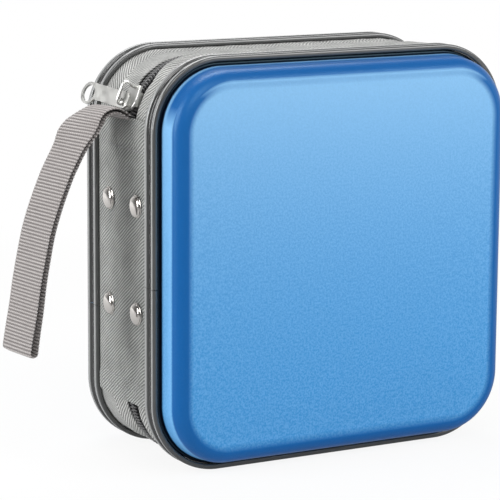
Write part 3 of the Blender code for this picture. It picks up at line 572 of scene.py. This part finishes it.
def floor_material():
    """Pale floor that keeps the case's shadow and shows as a white studio in reflections, with one dark end."""
    m = Nodes("pale_floor", 0.9, Specular_IOR_Level=0.1)
    place = m.node("ShaderNodeNewGeometry").outputs["Position"]
    x, y, _ = m.split(place)
    away = m.node("ShaderNodeVectorMath", operation="LENGTH")
    m.put(away.inputs[0], place)
    far = m.range(away.outputs["Value"], 0.22, 0.5, 0.0, 1.0)
    m.put(m.shader.inputs["Base Color"], m.mix(far, (0.80, 0.80, 0.80), (0.55, 0.55, 0.55)))
    toward = m.math("ADD", m.math("MULTIPLY", x, DARK_END[0]), m.math("MULTIPLY", y, DARK_END[1]))
    reach = m.range(away.outputs["Value"], 0.12, 0.75, 0.30, 1.15)
    studio = m.math("MULTIPLY", reach, m.range(toward, 0.10, 0.34, 1.0, 0.05))
    ray = m.node("ShaderNodeLightPath").outputs
    seen = m.math("MULTIPLY", ray["Is Camera Ray"], m.range(far, 0.0, 1.0, 0.90, 1.0))
    mirrored = m.math("MULTIPLY", m.math("MAXIMUM", ray["Is Glossy Ray"], ray["Is Transmission Ray"]), 0.80)
    glow = m.node("ShaderNodeEmission")
    m.put(glow.inputs["Color"], (1, 1, 1, 1))
    m.put(glow.inputs["Strength"], m.math("ADD", m.math("MULTIPLY", mirrored, m.math("SUBTRACT", studio, 1.0)), 1.0))
    mixed = m.node("ShaderNodeMixShader")
    m.put(mixed.inputs[0], m.math("MAXIMUM", seen, mirrored))
    m.put(mixed.inputs[1], m.shader.outputs[0])
    m.put(mixed.inputs[2], glow.outputs[0])
    m.put(m.tree.nodes["Material Output"].inputs["Surface"], mixed.outputs[0])
    return m.material


FLOOR_REACH = 3.0
FLOOR_DROP = 0.0002

corners = [(-FLOOR_REACH, -FLOOR_REACH, 0), (FLOOR_REACH, -FLOOR_REACH, 0),
           (FLOOR_REACH, FLOOR_REACH, 0), (-FLOOR_REACH, FLOOR_REACH, 0)]
floor_mesh = bpy.data.meshes.new("floor")
floor_mesh.from_pydata(corners, [], [(0, 1, 2, 3)])
floor = bpy.data.objects.new("floor", floor_mesh)
floor.location.z = -FLOOR_DROP
floor_mesh.materials.append(floor_material())
bpy.context.scene.collection.objects.link(floor)

# The world: plain grey light, a white surround where it is seen, and in reflections also the studio's dark end

world = bpy.data.worlds.new("studio")
bpy.context.scene.world = world
world.use_nodes = True
sky = world.node_tree


def sky_math(operation, a, b):
    """A clamped sum, product or the like of sockets and numbers."""
    made = sky.nodes.new("ShaderNodeMath")
    made.operation = operation
    made.use_clamp = True
    for socket, value in zip(made.inputs, (a, b)):
        if isinstance(value, bpy.types.NodeSocket):
            sky.links.new(value, socket)
        else:
            socket.default_value = value
    return made.outputs[0]


def sky_background(colour, strength):
    made = sky.nodes.new("ShaderNodeBackground")
    made.inputs["Color"].default_value = (*colour, 1)
    if isinstance(strength, bpy.types.NodeSocket):
        sky.links.new(strength, made.inputs["Strength"])
    else:
        made.inputs["Strength"].default_value = strength
    return made.outputs[0]


def sky_mix(factor, a, b):
    made = sky.nodes.new("ShaderNodeMixShader")
    for socket, value in zip(made.inputs, (factor, a, b)):
        sky.links.new(value, socket)
    return made.outputs[0]


ray = sky.nodes.new("ShaderNodeLightPath").outputs
heading = sky.nodes.new("ShaderNodeSeparateXYZ")
sky.links.new(sky.nodes.new("ShaderNodeTexCoord").outputs["Generated"], heading.inputs[0])
toward = [sky_math("MULTIPLY", heading.outputs[axis], DARK_END[axis]) for axis in (0, 1)]
low_end = sky_math("MULTIPLY", sky_math("ADD", *toward), 1.6)
high_end = sky_math("MULTIPLY", sky_math("SUBTRACT", heading.outputs[2], 0.30), 2.2)
dim = sky_math("SUBTRACT", 1.0, sky_math("MULTIPLY", sky_math("MAXIMUM", low_end, high_end), 0.88))
plain = sky_background((0.62, 0.63, 0.64), 0.62)
mirrored = sky_background((1, 1, 1), dim)
white = sky_background((1, 1, 1), 1.0)
unseen = sky_mix(ray["Is Glossy Ray"], plain, mirrored)
seen = sky_math("MAXIMUM", ray["Is Camera Ray"], ray["Is Transmission Ray"])
sky.links.new(sky_mix(seen, unseen, white), sky.nodes["World Output"].inputs["Surface"])


def area_light(name, place, aim, size, power):
    data = bpy.data.lights.new(name, "AREA")
    data.shape = "RECTANGLE"
    data.size, data.size_y = size
    data.energy = power
    lamp = bpy.data.objects.new(name, data)
    bpy.context.scene.collection.objects.link(lamp)
    lamp.location = place
    lamp.rotation_euler = (Vector(aim) - Vector(place)).to_track_quat("-Z", "Y").to_euler()


area_light("key", (-0.25, -0.62, 0.72), (0, 0, 0.12), (0.5, 0.4), 3.0)
area_light("sheen_right", (0.45, -0.60, 0.45), (0.03, 0, 0.14), (0.5, 0.4), 3.2)
area_light("spine_side", (-0.95, 0.15, 0.40), (-0.07, 0, 0.08), (0.45, 0.7), 7.5)
area_light("top", (0.15, 0.45, 0.9), (0, 0, 0.08), (0.6, 0.5), 4.0)

# Shells


FACE_RINGS = (0.985, 0.96, 0.92, 0.86, 0.78, 0.68, 0.56, 0.42, 0.28, 0.14, 0.03)


def shell_profile():
    """The outer face from the flange's edge up the wall and round the shoulder, as (offset, y)."""
    wall_top = FACE_Y - SHELL_FILLET
    rise = wall_top - SHELL_FLANGE_Y
    profile = [(-2.3, 27.4), (-3.0, 27.4), (-3.3, 27.5), (SHELL_OFFSET, SHELL_FLANGE_Y)]
    profile += [(SHELL_OFFSET - SHELL_DRAFT * t, SHELL_FLANGE_Y + rise * t) for t in (0.33, 0.67)]
    for step in range(15):
        a = math.radians(90) * step / 14
        offset = SHELL_OFFSET - SHELL_DRAFT - SHELL_FILLET * (1 - math.cos(a))
        profile.append((offset, wall_top + SHELL_FILLET * math.sin(a)))
    profile[-1] = (profile[-1][0], FACE_Y - SHELL_CROWN)
    return profile


def shell_mesh(name, side):
    """The shell's outer face. The rings of the face close in on its middle, where a small hole stays."""
    profile = shell_profile()
    grid = []
    for s in stations(0, LOOP, 5.0, 1.4)[:-1]:
        x, z, nx, nz = perimeter(s)
        row = [(x + nx * o, side * y, z + nz * o) for o, y in profile]
        edge_x, _, edge_z = row[-1]
        for k in FACE_RINGS:
            crown = SHELL_CROWN * (1 - k ** 3)
            row.append((edge_x * k, side * (FACE_Y - SHELL_CROWN + crown), MID + (edge_z - MID) * k))
        grid.append(row)
    return grid_mesh(name, grid, close_u=True)


def solid_shell(name, side, cover):
    """The shell as a piece with its wall's thickness, its face's middle closed."""
    mesh = shell_mesh(name, side)
    bm = bmesh.new()
    bm.from_mesh(mesh)
    loose = [e for e in bm.edges if e.is_boundary]
    inner = [e for e in loose if all(abs(v.co.y) > (FACE_Y - 2.0) * MM for v in e.verts)]
    bmesh.ops.contextual_create(bm, geom=inner)
    bmesh.ops.recalc_face_normals(bm, faces=bm.faces)
    bm.to_mesh(mesh)
    bm.free()
    piece = bpy.data.objects.new(name, mesh)
    bpy.context.scene.collection.objects.link(piece)
    thick = piece.modifiers.new("wall", "SOLIDIFY")
    thick.thickness = SHELL_WALL * MM
    thick.offset = -1.0
    apply_modifiers(piece)
    piece.data.materials.clear()
    piece.data.materials.append(BLUE)
    piece.data.shade_smooth()
    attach(piece, cover)
    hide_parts(cover.split("_")[0] + "_shell")


for side, cover in ((-1, "front_cover"), (1, "back_cover")):
    solid_shell(cover.split("_")[0] + "_moulded_shell", side, cover)

# Rims with their stitched grooves


def ridge(centre_y):
    points = []
    for step in range(9):
        a = math.radians(180) * step / 8
        points.append((RIDGE_RISE * (math.sin(a) ** 0.8 - 1), centre_y + RIDGE_HALF_WIDTH * math.cos(a)))
    return points


def rim_section(side):
    """Round ridges on both sides of a stitched groove, and a lip over the shell's flange."""
    points = ridge(RIDGE_YS[0])
    points += [(-0.85, 26.5), (-1.05, 26.2), (GROOVE_OFFSET, GROOVE_Y), (-1.05, 23.8), (-0.85, 23.5)]
    points += ridge(RIDGE_YS[1])
    points += [(-1.2, RIM_INNER_Y), (-1.7, RIM_INNER_Y), (-1.9, 21.2), (-1.9, 27.6), (-2.0, 27.75), (-2.1, 27.85),
               (-2.15, 28.05), (-2.15, 28.5), (-2.0, 28.8), (-1.6, 28.95), (-1.1, 29.0)]
    return [(offset, side * y) for offset, y in points]


STITCH_ENDS = 7
STITCH_SIDES = 8


def stitch_mesh(name, rings, length):
    """One stitch from its rings of points."""
    us = list(np.linspace(0, length, STITCH_ENDS))
    vs = [k * 0.3 for k in range(STITCH_SIDES + 1)]
    return grid_mesh(name, rings, (us, vs), close_v=True, caps=True)


def rim_stitches(name, marks, y, body, length=3.1, radius=0.33, offset=-0.98):
    """Short stitches lying along the groove, each a flattened capsule that dips in at its ends."""
    parts = []
    for s in marks:
        rings = []
        for t in np.linspace(-1, 1, STITCH_ENDS):
            x, z, nx, nz = perimeter(s + t * length / 2)
            lift = offset + radius * 0.9 * (1 - abs(t) ** 2.5) - radius * 0.5
            size = radius * (1 - 0.75 * abs(t) ** 4)
            ring = []
            for k in range(STITCH_SIDES):
                a = 2 * math.pi * k / STITCH_SIDES
                out = lift + size * math.sin(a) * 0.8
                ring.append((x + nx * out, y + size * math.cos(a), z + nz * out))
            rings.append(ring)
        parts.append(stitch_mesh(name, rings, length))
    add(name, join(name, parts), RIM_THREAD, body)


for side, cover in ((-1, "front"), (1, "back")):
    joint = JOINT_AT[cover]
    marks = stations(joint + 0.12, joint + LOOP - 0.12, 8.0, 1.2)
    mesh = sweep(cover + "_moulded_rim", marks, rim_section(side), caps=True)
    add(cover + "_moulded_rim", mesh, RIM, cover + "_cover", (cover + "_rim",), crease=50)
    pitch = LOOP / RIM_STITCHES
    marks = [joint + pitch * (i + 0.5) for i in range(RIM_STITCHES)]
    rim_stitches(cover + "_rim_stitches", marks, side * GROOVE_Y, cover + "_cover")

# Gussets, zip tapes and coils

WALL_START = SIDE / 2 - (HEIGHT - CORNER - (PATCH_TOP - 8.0))
WALL_END = LOOP - (SIDE / 2 - (PATCH_BOTTOM + 8.0 - CORNER))


def cover_blend(piece):
    """Bakes the cloth's place into its mesh."""
    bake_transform(piece)


def gusset_wave(s, offset, y):
    """Slight waves, and a fuller front wall that leans over the chain along the top."""
    edge = min(1.0, abs(abs(y) - GUSSET_Y) / 6)
    wave = edge * (0.16 * math.sin(s * 0.21 + y) + 0.10 * math.sin(s * 0.53 + 0.4 * y + 1.3))
    if y < ZIP_Y:
        top_start = s - SIDE / 2
        rise = 1 / (1 + math.exp(-(top_start - 0.50 * ARC) / 2.0))
        fall = 1 / (1 + math.exp((top_start - ARC - TOP - 0.1 * ARC) / 4.0))
        near_fold = 1.0 if y < -12.4 else max(0.0, (-y - 11.0) / 1.4)
        wave += 2.1 * rise * fall * min(1.0, (y + GUSSET_Y) / 9) * near_fold
    return wave


def gusset_section(rim_y, fold_y):
    """Outer face, round fold at the zip, and the turned-in layer under it."""
    toward = 1 if fold_y > rim_y else -1
    middle = (GUSSET_OUTER + GUSSET_INNER) / 2
    half = (GUSSET_OUTER - GUSSET_INNER) / 2
    points = [(GUSSET_OUTER, rim_y + (fold_y - toward * 0.6 - rim_y) * t) for t in np.linspace(0, 1, 9)]
    centre = fold_y - toward * FOLD_RADIUS
    for step in range(1, 7):
        a = math.radians(90 - 180 * step / 6)
        points.append((middle + half * math.sin(a), centre + toward * FOLD_RADIUS * math.cos(a)))
    points += [(GUSSET_INNER, fold_y + (rim_y - fold_y) * t) for t in (0.25, 0.5, 0.75, 1.0)]
    return points


def tape_section(towards):
    near = ZIP_Y - towards * 0.2
    far = near - towards * TAPE_WIDTH
    ys = (near, (near + far) / 2, far)
    return [(TAPE_OUTER, y) for y in ys] + [(TAPE_INNER, y) for y in reversed(ys)]


wall_marks = stations(WALL_START, WALL_END, 2.0, 1.2)
for side, cover in ((-1, "front"), (1, "back")):
    rim_y = side * GUSSET_Y
    fold_y = ZIP_Y + side * GUSSET_TO_ZIP
    mesh = sweep(cover + "_gusset_cloth", wall_marks, gusset_section(rim_y, fold_y), caps=True, wave=gusset_wave)
    gusset = add(cover + "_gusset_cloth", mesh, TWILL, None, (cover + "_gusset",))
    cover_blend(gusset)
    mesh = sweep(cover + "_woven_tape", wall_marks, tape_section(-side), caps=True)
    tape = add(cover + "_woven_tape", mesh, TAPE, None, (cover + "_zip_tape",), crease=40)
    cover_blend(tape)

CHAIN_START = WALL_START + COIL_INSET
CHAIN_END = WALL_END - COIL_INSET


def filament_loop():
    """One loop of the filament, as (y, height): a flat back on the tape's side and a wider head."""
    tail, head = 2.2, -0.55
    shape = []
    for step in range(FILAMENT_STEPS):
        a = 2 * math.pi * step / FILAMENT_STEPS
        height = 0.46 * math.sin(a) * (1.0 if math.cos(a) > -0.6 else 1.25)
        shape.append(((tail + head) / 2 + (tail - head) / 2 * math.cos(a), height))
    return shape


def coil_mesh(name, towards, phase):
    """Loops of one filament, whose heads mesh with the other coil's."""
    shape = filament_loop()
    rows = []
    us = []
    for loop in range(int((CHAIN_END - CHAIN_START) / COIL_PITCH)):
        for step, (y, height) in enumerate(shape):
            s = CHAIN_START + (loop + step / FILAMENT_STEPS + phase) * COIL_PITCH
            next_y, next_height = shape[(step + 1) % FILAMENT_STEPS]
            tangent = Vector((next_y - y, next_height - height)).normalized()
            ring = []
            for k in range(6):
                a = 2 * math.pi * k / 6
                out = COIL_OFFSET + height + FILAMENT_RADIUS * math.cos(a) * tangent.x
                across = y - FILAMENT_RADIUS * math.cos(a) * tangent.y
                x, z, nx, nz = perimeter(s + FILAMENT_RADIUS * math.sin(a))
                ring.append((x + nx * out, ZIP_Y - towards * across, z + nz * out))
            rows.append(ring)
            us.append(len(rows) * 0.3)
    return grid_mesh(name, rows, (us, [k * 0.3 for k in range(7)]), close_v=True, caps=True)


for side, cover, phase in ((-1, "front", 0.0), (1, "back", 0.5)):
    mesh = coil_mesh(cover + "_nylon_coil", -side, phase)
    coil = add(cover + "_nylon_coil", mesh, COIL, None, (cover + "_zip_coil",))
    cover_blend(coil)

# Spine patch


PATCH_BULGES = [  # height, centre y and z, spread in y and z
    (0.9, 1, 123, 9, 7),
    (0.35, -3, 82, 12, 14),
    (0.3, 0, 44, 13, 10),
]


def patch_height(y, z):
    """Outward lift of the patch's cloth: bulges, dimples at the rivets, waves, tucked sides and thick hems."""
    lift = 0.0
    for height, at_y, at_z, spread_y, spread_z in PATCH_BULGES:
        lift += height * math.exp(-((y - at_y) / spread_y) ** 2 - ((z - at_z) / spread_z) ** 2)
    for rivet_y, rivet_z in RIVETS:
        lift -= 0.3 * math.exp(-(math.hypot(y - rivet_y, z - rivet_z) / 6.5) ** 2)
    lift += 0.12 * math.sin(z * 0.42 + 0.15 * y) + 0.08 * math.sin(y * 0.6 + z * 0.13)
    edge = min(1.0, (20.7 - abs(y)) / 3.0, (PATCH_TOP + 0.2 - z) / 2.0 + 0.15, (z - PATCH_BOTTOM) / 2.0 + 0.15)
    lift *= max(0.0, edge)
    lift -= 0.42 * max(0.0, (abs(y) - 16.0) / 4.6) ** 1.5
    hem = 0.0
    for low, high in ((PATCH_TOP - 9.5, PATCH_TOP + 1), (PATCH_BOTTOM - 1, PATCH_BOTTOM + 7.5)):
        hem = max(hem, 1 / (1 + math.exp(-(z - low) * 4)) * 1 / (1 + math.exp((z - high) * 4)))
    return lift + 0.3 * hem - 0.3


def patch_mesh(name):
    """A sleeve of cloth that goes up the outside and back down the inside of each cross-section."""
    ys = np.linspace(-PATCH_HALF_WIDTH, PATCH_HALF_WIDTH, 70)
    marks = np.linspace(spine_distance(PATCH_BOTTOM), spine_distance(PATCH_TOP), 190)
    loops = []
    for s in marks:
        x, z, nx, nz = perimeter(s)
        outer = [(PATCH_OUTER + patch_height(y, z), y) for y in ys]
        inner = [(PATCH_INNER, y) for y in reversed(ys)]
        loops.append([(x + nx * out, y, z + nz * out) for out, y in outer + inner])
    widths = list(ys - ys[0])
    vs = widths + [widths[-1] + 1 + w for w in widths] + [2 * widths[-1] + 2]
    return grid_mesh(name, loops, (list(marks), vs), close_v=True, caps=True)


patch = add("patch_cloth", patch_mesh("patch_cloth"), PATCH, "spine", ("spine_patch",), crease=60)

HEM_ROWS = [  # height at the near edge, slope, length, pitch
    (122.6, 0.03, 2.3, 2.9),
    (PATCH_BOTTOM + 5.2, -0.02, 2.0, 2.7),
    (PATCH_BOTTOM + 8.0, 0.02, 2.0, 2.7),
]


def hem_stitches(name, rows, radius=0.2):
    """Stitches lying across the patch, row by row."""
    parts = []
    for start_z, slope, length, pitch in rows:
        y = -19.2
        while y + length < 19.4:
            rings = []
            for t in np.linspace(-1, 1, STITCH_ENDS):
                at_y = y + length * (t + 1) / 2
                at_z = start_z + slope * (at_y + 20)
                x, z, nx, nz = perimeter(spine_distance(at_z))
                middle = PATCH_OUTER + patch_height(at_y, at_z) + radius * 0.5 - radius * 1.1 * abs(t) ** 3
                width = radius * (1 - 0.6 * abs(t) ** 4)
                ring = []
                for k in range(STITCH_SIDES):
                    a = 2 * math.pi * k / STITCH_SIDES
                    out = middle + radius * math.sin(a)
                    ring.append((x + nx * out, at_y, z + nz * out + width * math.cos(a)))
                rings.append(ring)
            parts.append(stitch_mesh(name, rings, length))
            y += pitch
    add(name, join(name, parts), THREAD, "spine")


hem_stitches("hem_stitches", HEM_ROWS)

# Rivets


CAP_SEAT_X = -HALF_W + 0.55
CAP_RADIUS = 4.15


def cap_profile():
    """The domed cap, its rolled edge and the shank behind it, as (radius, outward)."""
    profile = [(0.001, 1.15)]
    for step in range(1, 13):
        a = math.radians(90) * step / 12
        profile.append((CAP_RADIUS * math.sin(a) ** 1.05, -0.35 + 1.5 * math.cos(a) ** 0.8))
    return profile + [(4.35, -0.42), (4.42, -0.55), (4.35, -0.68), (4.0, -0.7),
                      (1.5, -0.7), (1.5, -6.4), (1.3, -6.55), (0.001, -6.6)]


def revolve(name, profile, steps, place):
    """A profile of (radius, outward) turned about the rivet's axis, which points to -X."""
    rows = []
    for step in range(steps):
        a = 2 * math.pi * step / steps
        rows.append([(place[0] - out, place[1] + r * math.cos(a), place[2] + r * math.sin(a)) for r, out in profile])
    return grid_mesh(name, rows, close_u=True)


for number, (y, z) in enumerate(RIVETS, 1):
    mesh = revolve(f"rivet_cap_{number}", cap_profile(), 48, (CAP_SEAT_X, y, z))
    add(f"rivet_cap_{number}", mesh, CHROME, "spine", (f"rivet_{number}",), crease=50)

# Hand strap

STRAP_COURSE = [
    (-77.4, 135.4), (-79.0, 136.9), (-81.0, 138.0), (-83.4, 138.4), (-86.2, 137.8), (-89.2, 136.1),
    (-92.3, 133.2), (-95.2, 129.4), (-98.2, 124.3), (-101.2, 119.0), (-103.9, 113.8), (-108.1, 103.8),
    (-111.5, 93.8), (-114.0, 83.0), (-115.8, 74.0), (-117.3, 64.5), (-119.0, 55.5), (-120.2, 48.6),
]


STRAP_Y = 0.5
STRAP_HALF_WIDTH = 10.0
STRAP_HALF_THICKNESS = 0.5
LAYER_SPREAD = 1.1 + 0.35
FOLD_SPREAD = 1.55
RIB_DEPTH = 0.17
RIB_STEPS = 5
CREST_Z = 138.4


def smooth_course(points, step):
    """Points a step apart along the smooth curve through a list of points."""
    ends = [points[0]] + list(points) + [points[-1]]
    fine = []
    for index in range(1, len(ends) - 2):
        p0, p1, p2, p3 = (Vector(ends[index + shift]) for shift in (-1, 0, 1, 2))
        for part_step in range(160):
            t = part_step / 160
            fine.append(0.5 * (2 * p1 + (p2 - p0) * t + (2 * p0 - 5 * p1 + 4 * p2 - p3) * t ** 2
                               + (3 * p1 - p0 - 3 * p2 + p3) * t ** 3))
    fine.append(Vector(points[-1]))
    spaced = [fine[0]]
    for point in fine[1:]:
        if (point - spaced[-1]).length >= step:
            spaced.append(point)
    return spaced


def outward_at(line, index):
    """The normal of a line of points at one of them."""
    before, after = line[max(index - 1, 0)], line[min(index + 1, len(line) - 1)]
    direction = (after - before).normalized()
    return Vector((-direction.y, direction.x))


def folded_line():
    """The strap's centre line: down the course, round the fold and back beside it, the gap growing to the fold."""
    course = smooth_course(STRAP_COURSE, RIB_PITCH / RIB_STEPS)
    total = sum((b - a).length for a, b in zip(course[:-1], course[1:]))
    back = []
    travelled = 0.0
    for index, point in enumerate(course):
        if index:
            travelled += (point - course[index - 1]).length
        spread = LAYER_SPREAD + FOLD_SPREAD * (travelled / total) ** 2
        back.append(point + outward_at(course, index) * spread)
    centre = (course[-1] + back[-1]) / 2
    radius = (course[-1] - back[-1]).length / 2
    start = math.atan2(*reversed(course[-1] - centre))
    turns = [start + math.pi * k / 20 for k in range(1, 20)]
    fold = [centre + radius * Vector((math.cos(turn), math.sin(turn))) for turn in turns]
    return course + fold + back[::-1]


def strap_section():
    """Across the webbing and back, as (outward, width), a little thinner at the selvedges."""
    across = range(-10, 11)
    half = [STRAP_HALF_THICKNESS * (1 - (abs(k) / 10) ** 8 * 0.6) for k in across]
    return [(h, k) for h, k in zip(half, across)] + [(-h, -k) for h, k in zip(half, across)]


def strap_mesh(name):
    """Webbing with real ribs, which lies straight on the spine and twists a little below the crest."""
    line = folded_line()
    marks = lengths([tuple(p) for p in line])
    section = strap_section()
    grid = []
    for index, point in enumerate(line):
        out = outward_at(line, index)
        share = min(1.0, max(0.0, (CREST_Z - 1 - point.y) / 4))
        twist = (1.3 + 1.2 * math.exp(-((point.y - 130) / 4) ** 2)) * share
        rib = RIB_DEPTH * math.cos(2 * math.pi * (marks[index] / RIB_PITCH - 0.5)) - 0.12
        row = []
        for o, w in section:
            p = point + out * (o + math.copysign(1.0, o) * rib)
            turn = w / STRAP_HALF_WIDTH
            row.append((p.x - twist * turn, STRAP_Y + w, p.y - 0.5 * (1 - share) * turn))
        grid.append(row)
    vs = list(lengths(section))
    vs.append(vs[-1] + 1.0)
    return grid_mesh(name, grid, (list(marks), vs), close_v=True, caps=True)


add("ribbed_strap", strap_mesh("ribbed_strap"), WEBBING, "spine", ("hand_strap",), crease=70)

# Finishes of the CAD pieces that stay

FINISH = [
    (NICKEL, ("slider_body", "pull_tab", "washer_1", "washer_2", "washer_3", "washer_4")),
    (TWILL, ("spine_base",)),
    (BINDER, ("front_binder", "back_binder")),
    (FILM, ("front_sleeves", "back_sleeves")),
    (LINING, ("front_lining", "back_lining")),
]
for material, nodes in FINISH:
    for node in nodes:
        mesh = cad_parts[node].data
        mesh.materials.clear()
        mesh.materials.append(material)

bpy.context.scene.view_settings.view_transform = "Standard"
